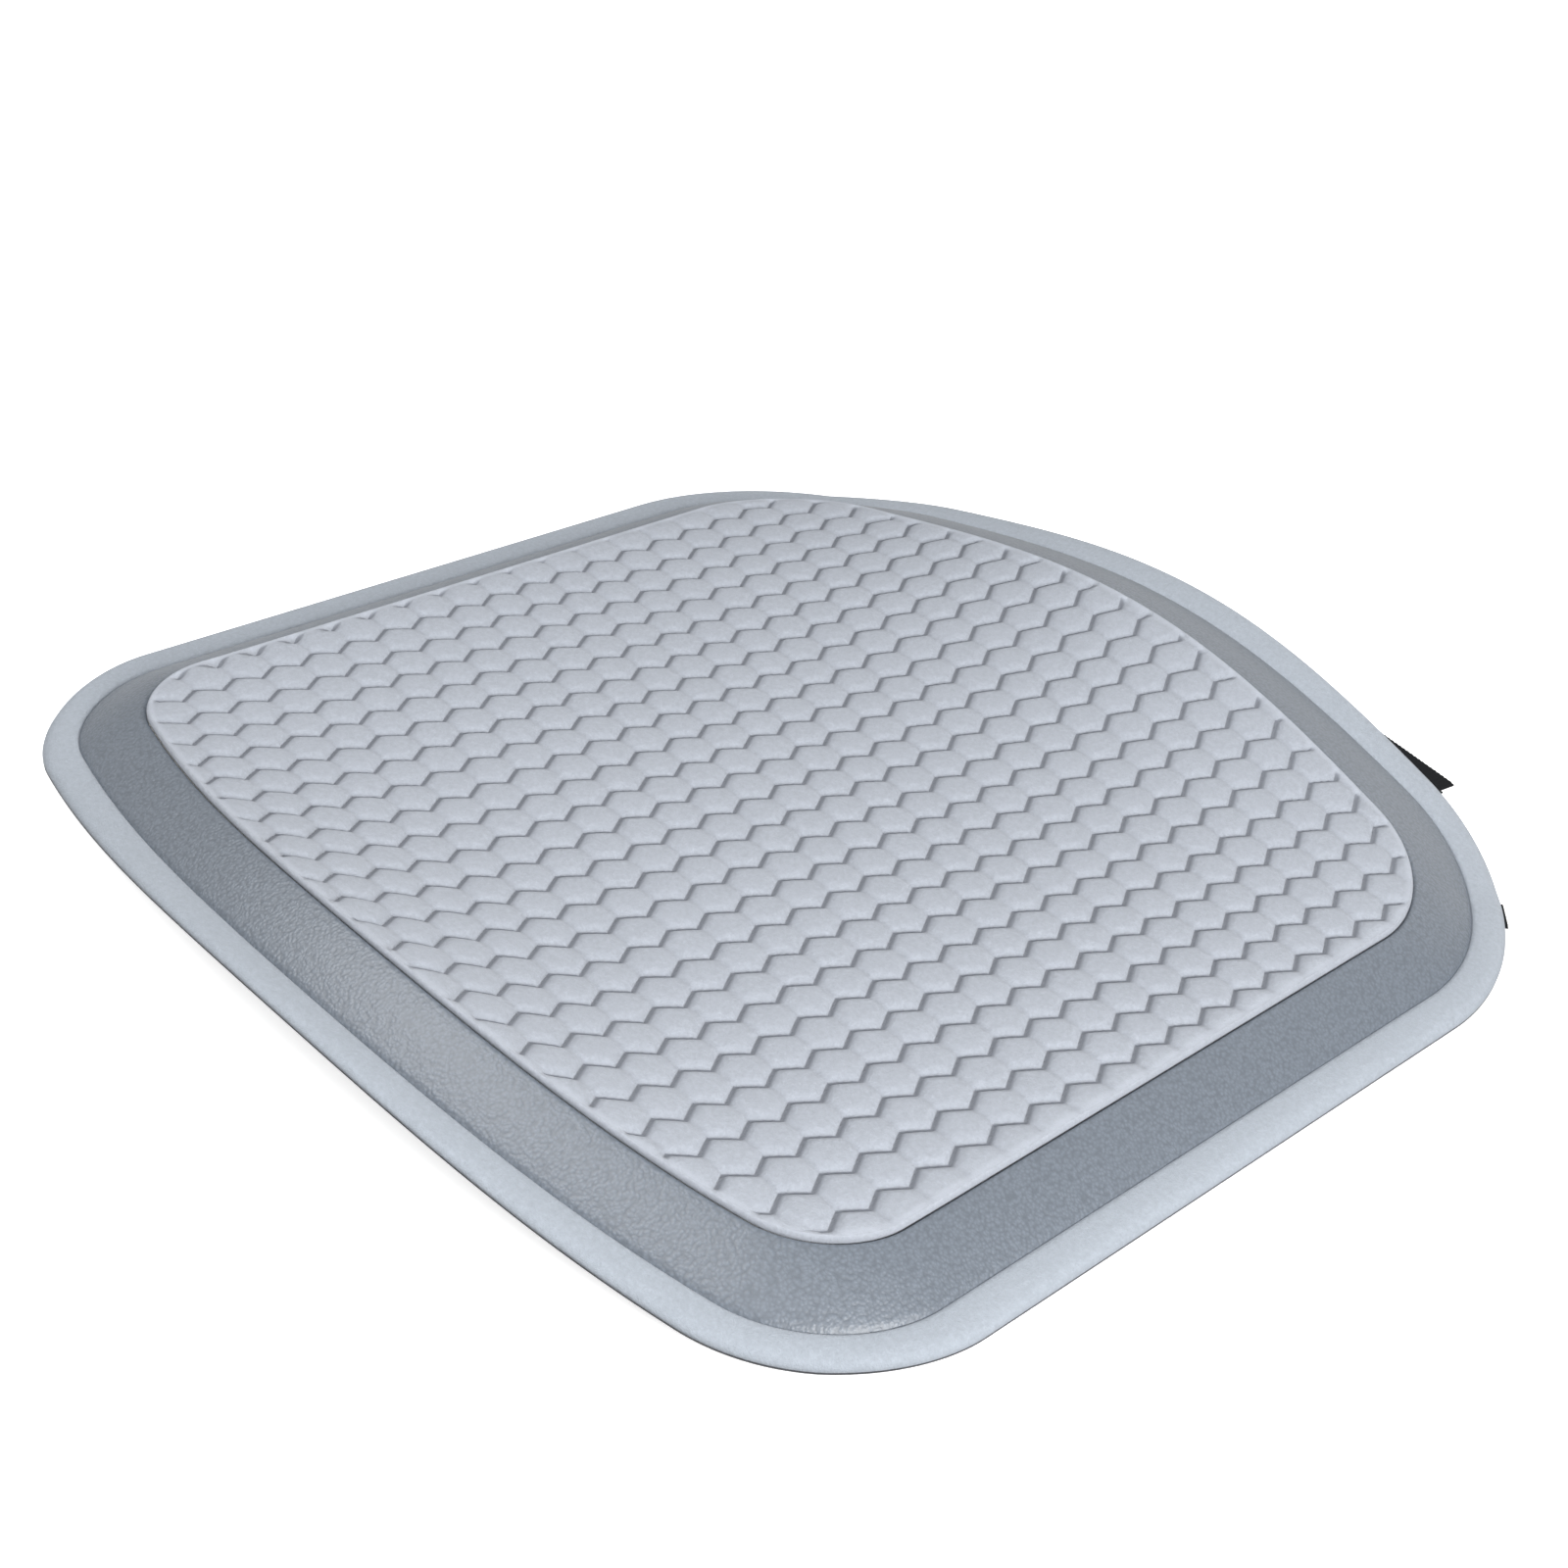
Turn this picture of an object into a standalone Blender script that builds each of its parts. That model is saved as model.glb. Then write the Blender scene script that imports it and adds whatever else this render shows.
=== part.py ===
"""Contoured seat cushion: a dished honeycomb suede panel on two layers of foam, a sloping leather band
round it, a flat soft rim, an anti-slip underside and an elastic strap for the backrest.

X runs across the seat, -Y is the front edge, +Z is up, and the flat middle of the underside is at Z = 0.
"""

import math

import bpy
from mathutils import Vector

MM = 0.001

# Overall outline, measured at the outer edge of the rim.
MIDDLE_WIDTH = 437.6 * MM
LENGTH = 456.0 * MM
TAPER = 0.019  # each side leans in by this much per metre towards the back
FRONT_BOW = 25.0 * MM  # how far the front edge stands forward of its own ends
REAR_BOW = 16.8 * MM
BOW_HALF_SPAN = 170.0 * MM
FRONT_CORNER = 55.0 * MM
REAR_CORNER = 89.0 * MM

# The panel inside it: its edge stands in from the rim's outer edge by these widths.
SIDE_BORDER = 36.2 * MM
FRONT_BORDER = 35.0 * MM
REAR_BORDER = 45.5 * MM
PANEL_FRONT_BOW = 28.0 * MM
PANEL_REAR_BOW = 22.0 * MM
PANEL_FRONT_CORNER = 29.0 * MM
PANEL_REAR_CORNER = 44.0 * MM

# Heights.
MIDDLE_THICKNESS = 22.5 * MM
BAND_DROP = 14.0 * MM  # from the panel's surface down to the rim's
RIM_WIDTH = 13.8 * MM
RIM_THICKNESS = 4.6 * MM
FRONT_CURL = 20.4 * MM  # rise of the panel's front edge at its middle
FRONT_CURL_START = 99.8 * MM  # forward of the centre
FRONT_CURL_END = 197.8 * MM
FRONT_CURL_HALF_SPAN = 202.0 * MM
REAR_CURL = 21.5 * MM
REAR_CURL_START = 24.3 * MM  # behind the centre
REAR_CURL_END = 176.3 * MM
REAR_CURL_HALF_SPAN = 178.0 * MM
RIM_FRONT_CURL = 23.1 * MM  # rise of the rim, at these distances from the centre
RIM_FRONT_CURL_END = 230.0 * MM
RIM_REAR_CURL = 25.3 * MM
RIM_REAR_CURL_END = 213.7 * MM
UNDERSIDE_SHARE = 0.8  # the underside follows this share of the panel's curl

# Layers, from the top down.
PANEL_THICKNESS = 2.5 * MM
HEM_RADIUS = 2.0 * MM
HEM_PROUD = 0.5 * MM
BAND_THICKNESS = 1.5 * MM
BAND_RECESS = 2.2 * MM  # the leather starts this far below the panel's surface
COMFORT_THICKNESS = 9.0 * MM
BASE_CLOTH_THICKNESS = 1.3 * MM
RIM_COVER_THICKNESS = 1.1 * MM
RIM_WALL = 1.5 * MM
FIT = 0.3 * MM  # clearance between neighbouring layers

# Elastic strap for the backrest, and the small webbing tabs at the rear corners.
STRAP_WIDTH = 45.0 * MM
STRAP_THICKNESS = 1.5 * MM
STRAP_REACH = 88.0 * MM  # from its fold line forward, lying under the cushion
STRAP_ROOT_X = 106.0 * MM
STRAP_TILT = 0.100  # rise of the stowed strap per metre towards the back
STRAP_PROUD = 5.0 * MM  # its fold line lies this far behind the rim
ANCHOR_LENGTH = 34.0 * MM
ANCHOR_PROUD = 9.8 * MM
ANCHOR_SKEW = 0.14  # the cut end stands further out on the side away from the middle
TAB_WIDTH = 15.0 * MM
TAB_LENGTH = 12.0 * MM
TAB_PROUD = 2.0 * MM
TAB_THICKNESS = 1.0 * MM
TAB_BEARING = math.radians(45.0)  # direction of the rear corner from the centre, from +X

RING_POINTS = 96
RINGS = (0.16, 0.32, 0.46, 0.58, 0.69, 0.79, 0.88, 0.95)  # shares of the way from the centre to a layer's edge

OUTER = {
    "half": MIDDLE_WIDTH / 2,
    "front": LENGTH / 2,
    "rear": LENGTH / 2,
    "front_bow": FRONT_BOW,
    "rear_bow": REAR_BOW,
    "front_corner": FRONT_CORNER,
    "rear_corner": REAR_CORNER,
}
PANEL = {
    "half": MIDDLE_WIDTH / 2 - SIDE_BORDER,
    "front": LENGTH / 2 - FRONT_BORDER,
    "rear": LENGTH / 2 - REAR_BORDER,
    "front_bow": PANEL_FRONT_BOW,
    "rear_bow": PANEL_REAR_BOW,
    "front_corner": PANEL_FRONT_CORNER,
    "rear_corner": PANEL_REAR_CORNER,
}


def clear_scene():
    for obj in list(bpy.data.objects):
        bpy.data.objects.remove(obj)
    for collection in list(bpy.data.collections):
        bpy.data.collections.remove(collection)


# Outlines.


def inset(outline, x, y):
    """How far the point lies inside the outline."""
    side = outline["half"] - TAPER * y - abs(x)
    bow = (x / BOW_HALF_SPAN) ** 2
    if y < 0:
        end = outline["front"] - outline["front_bow"] * bow + y
        corner = outline["front_corner"]
    else:
        end = outline["rear"] - outline["rear_bow"] * bow - y
        corner = outline["rear_corner"]
    if side < corner and end < corner:
        return corner - math.hypot(corner - side, corner - end)
    return min(side, end)


def reach(outline, level, bearing):
    """The point in this direction from the centre that lies `level` inside the outline."""
    near, far = 0.0, LENGTH
    for _ in range(40):
        middle = (near + far) / 2
        if inset(outline, middle * math.cos(bearing), middle * math.sin(bearing)) > level:
            near = middle
        else:
            far = middle
    return near * math.cos(bearing), near * math.sin(bearing)


def even_bearings():
    """Directions that share out both the outline's length and its turning, so corners stay round."""
    fine = 2880
    points = [Vector(reach(OUTER, 0.0, 2 * math.pi * i / fine)) for i in range(fine)]
    steps = [points[(i + 1) % fine] - points[i] for i in range(fine)]
    around = sum(step.length for step in steps)
    totals = [0.0]
    for i, step in enumerate(steps):
        turn = abs(steps[i - 1].angle_signed(step))
        totals.append(totals[-1] + step.length / around + turn / (2 * math.pi))
    bearings = []
    i = 0
    for k in range(RING_POINTS):
        wanted = totals[-1] * k / RING_POINTS
        while totals[i + 1] <= wanted:
            i += 1
        share = (wanted - totals[i]) / (totals[i + 1] - totals[i])
        bearings.append(2 * math.pi * (i + share) / fine)
    return bearings


# Heights of the surfaces.


def bump(share):
    """1 in the middle of an edge, falling to 0 where the curl ends."""
    if abs(share) >= 1:
        return 0.0
    return 0.175 * (1 + math.cos(math.pi * share)) + 0.65 * (1 - share * share)


def curl(x, y, front, front_end, rear, rear_end):
    if y < -FRONT_CURL_START:
        run = (-y - FRONT_CURL_START) / (front_end - FRONT_CURL_START)
        return front * run * run * bump(x / FRONT_CURL_HALF_SPAN)
    if y > REAR_CURL_START:
        run = (y - REAR_CURL_START) / (rear_end - REAR_CURL_START)
        return rear * run * run * bump(x / REAR_CURL_HALF_SPAN)
    return 0.0


def panel_height(x, y):
    return MIDDLE_THICKNESS + curl(x, y, FRONT_CURL, FRONT_CURL_END, REAR_CURL, REAR_CURL_END)


def rim_height(x, y):
    risen = curl(x, y, RIM_FRONT_CURL, RIM_FRONT_CURL_END, RIM_REAR_CURL, RIM_REAR_CURL_END)
    return MIDDLE_THICKNESS - BAND_DROP + risen


def underside_height(x, y):
    return UNDERSIDE_SHARE * (panel_height(x, y) - MIDDLE_THICKNESS)


# Rings of points, one point for each bearing.


def mix(a, b, share):
    return a + (b - a) * share


def inner_ring(share, level, height):
    """A ring inside the panel: `share` of the way from the centre to the line `level` inside its edge."""
    ring = []
    for bearing in BEARINGS:
        x, y = reach(PANEL, level, bearing)
        x, y = share * x, share * y
        ring.append(Vector((x, y, height(x, y))))
    return ring


def band_ring(share, depth):
    """A ring under the sloping band, from the panel's edge (share 0) to the rim's inner line (share 1)."""
    ring = []
    for bearing in BEARINGS:
        a = reach(PANEL, 0.0, bearing)
        b = reach(OUTER, RIM_WIDTH, bearing)
        top = mix(panel_height(*a), rim_height(*b) + BAND_DROP, share)
        ring.append(Vector((mix(a[0], b[0], share), mix(a[1], b[1], share), top - depth)))
    return ring


def band_depth(share):
    """Depth of the leather's face below the panel's surface."""
    return mix(BAND_RECESS, BAND_DROP, share)


def under_band_ring(share, raised):
    """A ring of the underside between the panel's footprint (share 0) and the rim's inner line (share 1)."""
    ring = []
    for bearing in BEARINGS:
        a = [FOOT_SHARE * c for c in reach(PANEL, 0.0, bearing)]
        b = reach(OUTER, RIM_WIDTH, bearing)
        low = mix(underside_height(*a), rim_height(*b) - RIM_THICKNESS, share)
        ring.append(Vector((mix(a[0], b[0], share), mix(a[1], b[1], share), low + raised)))
    return ring


def rim_ring(level, depth):
    ring = []
    for bearing in BEARINGS:
        x, y = reach(OUTER, level, bearing)
        ring.append(Vector((x, y, rim_height(x, y) - depth)))
    return ring


def under_point(x, y):
    """Height of the finished underside at any point of the plan."""
    bearing = math.atan2(y, x)
    far = math.hypot(x, y)
    foot = FOOT_SHARE * math.hypot(*reach(PANEL, 0.0, bearing))
    line = math.hypot(*reach(OUTER, RIM_WIDTH, bearing))
    if far <= foot:
        return underside_height(x, y)
    if far >= line:
        return rim_height(x, y) - RIM_THICKNESS
    unit = (x / far, y / far)
    low = underside_height(unit[0] * foot, unit[1] * foot)
    high = rim_height(unit[0] * line, unit[1] * line) - RIM_THICKNESS
    return mix(low, high, (far - foot) / (line - foot))


# Building objects.


def material(name, colour, roughness):
    made = bpy.data.materials.new(name)
    made.use_nodes = True
    shader = made.node_tree.nodes["Principled BSDF"]
    shader.inputs["Base Color"].default_value = (*colour, 1.0)
    shader.inputs["Roughness"].default_value = roughness
    return made


def add(name, points, faces, finish):
    mesh = bpy.data.meshes.new(name)
    mesh.from_pydata([tuple(p) for p in points], [], faces)
    mesh.validate()
    mesh.materials.append(finish)
    obj = bpy.data.objects.new(name, mesh)
    COLLECTION.objects.link(obj)
    return obj


def strips(rings, wrap):
    """Faces between neighbouring rings, and from the last back to the first if `wrap`.

    Every quad is split along the same diagonal in plan, so that layers which lie on each other stay clear.
    """
    count = RING_POINTS
    faces = []
    for k in range(len(rings) if wrap else len(rings) - 1):
        n = (k + 1) % len(rings)
        a, b = k * count, n * count
        outward = sum(p.xy.length for p in rings[n]) > sum(p.xy.length for p in rings[k])
        for i in range(count):
            j = (i + 1) % count
            if outward:
                faces += [(a + i, b + i, b + j), (a + i, b + j, a + j)]
            else:
                faces += [(a + i, b + i, a + j), (b + i, b + j, a + j)]
    return faces


def slab(name, top_rings, bottom_rings, finish):
    """A closed layer: lofted rings from the middle of its top out, down its edge and back to its middle."""
    rings = top_rings + bottom_rings
    count = RING_POINTS
    points = [p for ring in rings for p in ring]
    faces = strips(rings, False)
    top = sum(rings[0], Vector()) / count
    bottom = sum(rings[-1], Vector()) / count
    points += [top, bottom]
    last = (len(rings) - 1) * count
    for i in range(count):
        j = (i + 1) % count
        faces.append((len(points) - 2, i, j))
        faces.append((len(points) - 1, last + j, last + i))
    return add(name, points, faces, finish)


def hoop(name, rings, finish):
    """A closed ring-shaped piece: its rings go round its own section, from the top outwards."""
    points = [p for ring in rings for p in ring]
    return add(name, points, strips(rings, True), finish)


def sheet_piece(name, grid, thickness, finish):
    """A strip of webbing: an open surface with its thickness added below."""
    rows, columns = len(grid), len(grid[0])
    points = [p for row in grid for p in row]
    faces = []
    for r in range(rows - 1):
        for c in range(columns - 1):
            a = r * columns + c
            faces.append((a, a + 1, a + columns + 1, a + columns))
    obj = add(name, points, faces, finish)
    facing = sum((p.normal.z for p in obj.data.polygons))
    solidify = obj.modifiers.new("thickness", "SOLIDIFY")
    solidify.thickness = thickness
    solidify.offset = -1 if facing > 0 else 1
    solidify.use_even_offset = True
    return obj


# The cushion's layers.


def top_panel(finish):
    level = 2 * HEM_RADIUS + 2 * FIT
    top = [inner_ring(s, level, panel_height) for s in RINGS + (1.0,)]
    low = [inner_ring(s, level, lambda x, y: panel_height(x, y) - PANEL_THICKNESS) for s in (1.0,) + RINGS[::-1]]
    return slab("honeycomb_top_panel", top, low, finish)


def panel_hem(finish):
    """The panel's turned and pressed edge: a soft round welt standing just proud of the leather."""
    curve = bpy.data.curves.new("panel_edge_welt", "CURVE")
    curve.dimensions = "3D"
    curve.bevel_depth = HEM_RADIUS
    curve.bevel_resolution = 1
    spline = curve.splines.new("POLY")
    ring = inner_ring(1.0, HEM_RADIUS, lambda x, y: panel_height(x, y) + HEM_PROUD - HEM_RADIUS)
    spline.points.add(len(ring) - 1)
    for point, place in zip(spline.points, ring):
        point.co = (*place, 1.0)
    spline.use_cyclic_u = True
    curve.materials.append(finish)
    obj = bpy.data.objects.new("panel_edge_welt", curve)
    COLLECTION.objects.link(obj)
    return obj


def side_band(finish):
    start, end = 0.02, 0.985
    shares = (start, 0.35, 0.7, end)
    slant = 1.17  # upright thickness of a sheet that slopes at this angle
    top = [band_ring(s, band_depth(s)) for s in shares]
    low = [band_ring(s, band_depth(s) + BAND_THICKNESS * slant) for s in shares[::-1]]
    return hoop("side_band", top + low, finish)


def comfort_foam(finish):
    below_panel = PANEL_THICKNESS + FIT
    below_hem = 2 * HEM_RADIUS - HEM_PROUD + FIT
    bottom = below_panel + COMFORT_THICKNESS
    edge = 2 * HEM_RADIUS + 3 * FIT
    shares = (0.0, 0.3, 0.6)
    top = [inner_ring(s, edge, lambda x, y: panel_height(x, y) - below_panel) for s in RINGS + (1.0,)]
    top += [inner_ring(1.0, 2 * HEM_RADIUS - 2 * FIT, lambda x, y: panel_height(x, y) - below_hem)]
    top += [band_ring(s, max(below_hem, band_depth(s) + UNDER_BAND)) for s in shares]
    low = [band_ring(s, bottom) for s in shares[::-1]]
    low += [inner_ring(s, edge, lambda x, y: panel_height(x, y) - bottom) for s in RINGS[::-1]]
    return slab("comfort_foam", top, low, finish)


def support_foam(finish):
    top_depth = PANEL_THICKNESS + COMFORT_THICKNESS + 2 * FIT
    raised = BASE_CLOTH_THICKNESS + FIT
    edge = 2 * HEM_RADIUS + 3 * FIT
    shares = (0.0, 0.4, 0.75, 0.985)
    top = [inner_ring(s, edge, lambda x, y: panel_height(x, y) - top_depth) for s in RINGS]
    top += [band_ring(s, max(top_depth, band_depth(s) + UNDER_BAND)) for s in shares]
    low = [under_band_ring(s, raised) for s in (0.99, 0.6, 0.3, 0.0)]
    low += [inner_ring(s, 0.0, lambda x, y: underside_height(x, y) + raised) for s in RINGS[-3::-1]]
    return slab("support_foam", top, low, finish)


def base_cloth(finish):
    rim_levels = (RIM_WIDTH / 2, RIM_WALL)
    inside = RINGS[:-2]
    top = [inner_ring(s, 0.0, lambda x, y: underside_height(x, y) + BASE_CLOTH_THICKNESS) for s in inside]
    top += [under_band_ring(s, BASE_CLOTH_THICKNESS) for s in (0.0, 0.3, 0.6, 1.0)]
    top += [rim_ring(level, RIM_THICKNESS - BASE_CLOTH_THICKNESS) for level in rim_levels]
    low = [rim_ring(level, RIM_THICKNESS) for level in rim_levels[::-1]]
    low += [under_band_ring(s, 0.0) for s in (1.0, 0.6, 0.3, 0.0)]
    low += [inner_ring(s, 0.0, underside_height) for s in inside[::-1]]
    return slab("base_cloth", top, low, finish)


def rim_cover(finish):
    """Suede over the rim: flat on top, rounded over the outer edge and tucked down to the base cloth."""
    inner = RIM_WIDTH - FIT
    foot = RIM_THICKNESS - BASE_CLOTH_THICKNESS - FIT
    skin = RIM_COVER_THICKNESS
    section = (
        (inner, 0.0),
        (inner / 2, 0.0),
        (3.0 * MM, 0.0),
        (1.5 * MM, 0.25 * MM),
        (0.5 * MM, 0.8 * MM),
        (0.0, 1.8 * MM),
        (0.2 * MM, foot),
        (RIM_WALL, foot),
        (RIM_WALL, 2.0 * MM),
        (RIM_WALL + 0.6 * MM, skin + 0.3 * MM),
        (RIM_WALL + 1.6 * MM, skin),
        (inner / 2, skin),
        (inner, skin),
    )
    return hoop("rim_cover", [rim_ring(level, depth) for level, depth in section], finish)


def rim_filler(finish):
    inner = RIM_WIDTH - FIT
    top = RIM_COVER_THICKNESS + FIT
    foot = RIM_THICKNESS - BASE_CLOTH_THICKNESS - FIT
    nose = RIM_WALL + 2 * FIT
    section = (
        (inner, top),
        (inner / 2, top),
        (nose + 1.8 * MM, top),
        (nose + 0.3 * MM, top + 0.7 * MM),
        (nose, foot),
        (inner / 2, foot),
        (inner, foot),
    )
    return hoop("rim_filler", [rim_ring(level, depth) for level, depth in section], finish)


# The strap and its sewn ends.


def edge_frame(x_wanted):
    """The rim's rear edge point at this X, with the directions along it and straight out of it."""
    low, high = math.radians(5), math.radians(175)
    for _ in range(40):
        middle = (low + high) / 2
        if reach(OUTER, 0.0, middle)[0] > x_wanted:
            low = middle
        else:
            high = middle
    return frame_at(low)


def frame_at(bearing):
    here = Vector(reach(OUTER, 0.0, bearing))
    along = Vector(reach(OUTER, 0.0, bearing - 0.01)) - here
    along.normalize()
    out = Vector((-along.y, along.x))
    if out.dot(here) < 0:
        out = -out
    return here, along, out


def anchor_grid(side):
    """A strap end sewn flat under the rim, its cut end standing out from under the edge."""
    here, along, out = edge_frame(side * STRAP_ROOT_X)
    if along.x * side < 0:
        along = -along
    grid = []
    for r in range(5):
        row = []
        for c in range(7):
            across = (c / 6 - 0.5) * STRAP_WIDTH
            stand = ANCHOR_PROUD + ANCHOR_SKEW * across - r / 4 * ANCHOR_LENGTH
            place = here + along * across + out * stand
            under = here + along * across + out * min(stand, -RIM_WALL)
            row.append(Vector((place.x, place.y, under_point(under.x, under.y) - FIT)))
        grid.append(row)
    return grid


def anchor(side, finish):
    name = f"strap_anchor_{'right' if side > 0 else 'left'}"
    return sheet_piece(name, anchor_grid(side), STRAP_THICKNESS, finish)


def corner_tab(side, finish):
    bearing = TAB_BEARING if side > 0 else math.pi - TAB_BEARING
    here, along, out = frame_at(bearing)
    grid = []
    for r in range(3):
        row = []
        for c in range(3):
            across = (c / 2 - 0.5) * TAB_WIDTH
            stand = TAB_PROUD - r / 2 * TAB_LENGTH
            place = here + along * across + out * stand
            under = here + along * across + out * min(stand, -RIM_WALL)
            row.append(Vector((place.x, place.y, under_point(under.x, under.y) - FIT)))
        grid.append(row)
    return sheet_piece(f"corner_tab_{'right' if side > 0 else 'left'}", grid, TAB_THICKNESS, finish)


def strap_hinge():
    """Where the strap folds: the line across the cushion through both sewn ends, on its lower face."""
    here, _, _ = edge_frame(STRAP_ROOT_X)
    y = here.y + STRAP_PROUD
    above = [Vector((p.x, p.y, p.z - STRAP_THICKNESS)) for row in anchor_grid(1) for p in row]
    edge_x = STRAP_ROOT_X + STRAP_WIDTH / 2
    for step in range(13):
        at = y - step / 12 * STRAP_REACH
        above.append(Vector((edge_x, at, under_point(edge_x, at))))
    top = min(p.z - (p.y - y) * STRAP_TILT for p in above) - 1.2 * FIT
    return Vector((0.0, y, top - STRAP_THICKNESS))


def rear_strap(finish):
    """One length of elastic: a leg from each sewn end and the part that goes round the backrest."""
    half = STRAP_ROOT_X + STRAP_WIDTH / 2
    inner = half - STRAP_WIDTH
    turn = STRAP_REACH - STRAP_WIDTH
    columns = (-half, -inner, -inner / 2, 0.0, inner / 2, inner, half)
    rows = (0.0, -turn / 2, -turn, -turn - STRAP_WIDTH / 2, -STRAP_REACH)
    points = [Vector((x, y, y * STRAP_TILT)) for y in rows for x in columns]
    count = len(columns)
    faces = []
    for r in range(len(rows) - 1):
        for c in range(count - 1):
            if r < 2 and 0 < c < count - 2:
                continue
            a = r * count + c
            faces.append((a, a + count, a + count + 1, a + 1))
    used = sorted({i for face in faces for i in face})
    place = {old: new for new, old in enumerate(used)}
    obj = add("rear_strap", [points[i] for i in used], [[place[i] for i in f] for f in faces], finish)
    solidify = obj.modifiers.new("thickness", "SOLIDIFY")
    solidify.thickness = STRAP_THICKNESS
    solidify.offset = 1
    obj.location = strap_hinge()
    return obj


def build():
    suede = material("microfibre_suede_light_grey", (0.55, 0.58, 0.63), 0.95)
    hem = material("pressed_suede_edge", (0.60, 0.62, 0.67), 0.9)
    leather = material("pu_leather_grey", (0.26, 0.28, 0.32), 0.5)
    rim = material("rim_suede_blue_grey", (0.52, 0.56, 0.62), 0.9)
    memory = material("memory_foam", (0.75, 0.74, 0.68), 0.95)
    firm = material("firm_foam", (0.62, 0.62, 0.60), 0.95)
    cloth = material("anti_slip_cloth", (0.06, 0.065, 0.075), 0.9)
    webbing = material("black_elastic", (0.012, 0.012, 0.013), 0.85)
    top_panel(suede)
    panel_hem(hem)
    side_band(leather)
    rim_cover(rim)
    comfort_foam(memory)
    support_foam(firm)
    rim_filler(firm)
    base_cloth(cloth)
    for side in (-1, 1):
        anchor(side, webbing)
        corner_tab(side, webbing)
    rear_strap(webbing)


clear_scene()
COLLECTION = bpy.data.collections.new("seat_cushion")
bpy.context.scene.collection.children.link(COLLECTION)
BEARINGS = even_bearings()
FOOT_SHARE = RINGS[-2]
UNDER_BAND = BAND_THICKNESS * 1.17 + FIT
build()
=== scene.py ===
"""Contoured honeycomb seat cushion: every visible skin, seam and strap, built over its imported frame."""

import math

import bmesh
import bpy
import numpy as np
from mathutils import Matrix, Vector


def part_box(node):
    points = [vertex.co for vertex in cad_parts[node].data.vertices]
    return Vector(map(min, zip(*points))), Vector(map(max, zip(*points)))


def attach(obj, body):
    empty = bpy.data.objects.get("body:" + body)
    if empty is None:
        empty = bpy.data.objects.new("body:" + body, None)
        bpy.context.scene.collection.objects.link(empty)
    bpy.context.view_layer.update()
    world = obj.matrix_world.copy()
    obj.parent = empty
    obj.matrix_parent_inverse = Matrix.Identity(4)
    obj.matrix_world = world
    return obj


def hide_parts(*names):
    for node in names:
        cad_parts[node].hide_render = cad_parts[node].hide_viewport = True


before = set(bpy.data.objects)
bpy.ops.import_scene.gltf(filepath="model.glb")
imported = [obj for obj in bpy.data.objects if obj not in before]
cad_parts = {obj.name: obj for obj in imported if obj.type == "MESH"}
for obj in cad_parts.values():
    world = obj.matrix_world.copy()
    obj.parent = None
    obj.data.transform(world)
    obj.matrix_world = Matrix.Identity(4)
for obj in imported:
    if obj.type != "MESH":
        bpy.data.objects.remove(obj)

bl_info = {
    "name": "Honeycomb seat cushion",
    "version": (1, 0, 0),
    "blender": (4, 5, 0),
    "location": "View3D > Sidebar > Seat cushion",
    "description": "Builds a dished seat cushion with an embossed suede panel, leather band and soft rim",
    "category": "Add Mesh",
}

MM = 0.001

# The outline and the heights are those of the frame's own layers, in metres.
OUTER_LOW, OUTER_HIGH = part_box("rim_cover")
LENGTH = OUTER_HIGH.y - OUTER_LOW.y
TAPER = 0.019
BOW_HALF_SPAN = 170.0 * MM
RIM_WIDTH = 13.8 * MM
RIM_THICKNESS = 4.6 * MM
BAND_DROP = 14.0 * MM
MIDDLE_THICKNESS = 22.5 * MM
UNDERSIDE_SHARE = 0.8
FOOT_SHARE = 0.88
STRAP_WIDTH = 45.0 * MM
STRAP_THICKNESS = 1.5 * MM
STRAP_ROOT_X = 106.0 * MM  # from the middle to the middle of each sewn end
STRAP_TILT = 0.10  # rise of the stowed strap towards the back
RIB_HEIGHT = 0.25 * MM
UNDER_GAP = 0.35 * MM  # from the underside cloth to what is sewn onto it
HONEYCOMB_ROW = 0.866  # spacing of a honeycomb lattice's rows, as a share of its pitch

OUTER = {
    "half": 218.8 * MM,
    "front": LENGTH / 2,
    "rear": LENGTH / 2,
    "front_bow": 25.0 * MM,
    "rear_bow": 16.8 * MM,
    "front_corner": 55.0 * MM,
    "rear_corner": 89.0 * MM,
}
PANEL = {
    "half": OUTER["half"] - 36.2 * MM,
    "front": OUTER["front"] - 35.0 * MM,
    "rear": OUTER["rear"] - 45.5 * MM,
    "front_bow": 28.0 * MM,
    "rear_bow": 22.0 * MM,
    "front_corner": 29.0 * MM,
    "rear_corner": 44.0 * MM,
}
# Where the front and the rear curl start, measured from the centre, and half of how far each one spans.
FRONT_CURL_START = 99.8 * MM
REAR_CURL_START = 24.3 * MM
FRONT_CURL_HALF_SPAN = 202.0 * MM
REAR_CURL_HALF_SPAN = 178.0 * MM
# Front rise and where it is reached, then rear rise and where it is reached.
PANEL_CURL = (20.4 * MM, 197.8 * MM, 21.5 * MM, 176.3 * MM)
RIM_CURL = (23.1 * MM, 230.0 * MM, 25.3 * MM, 213.7 * MM)

AROUND = 960  # points round each ring
CUSHION = "cushion"
STRAP = "strap"


# Outline and surfaces.


def inset(outline, x, y):
    """How far each point lies inside the outline."""
    side = outline["half"] - TAPER * y - np.abs(x)
    bow = (x / BOW_HALF_SPAN) ** 2
    front = outline["front"] - outline["front_bow"] * bow + y
    rear = outline["rear"] - outline["rear_bow"] * bow - y
    end = np.where(y < 0, front, rear)
    corner = np.where(y < 0, outline["front_corner"], outline["rear_corner"])
    rounded = corner - np.hypot(corner - side, corner - end)
    return np.where((side < corner) & (end < corner), rounded, np.minimum(side, end))


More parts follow.
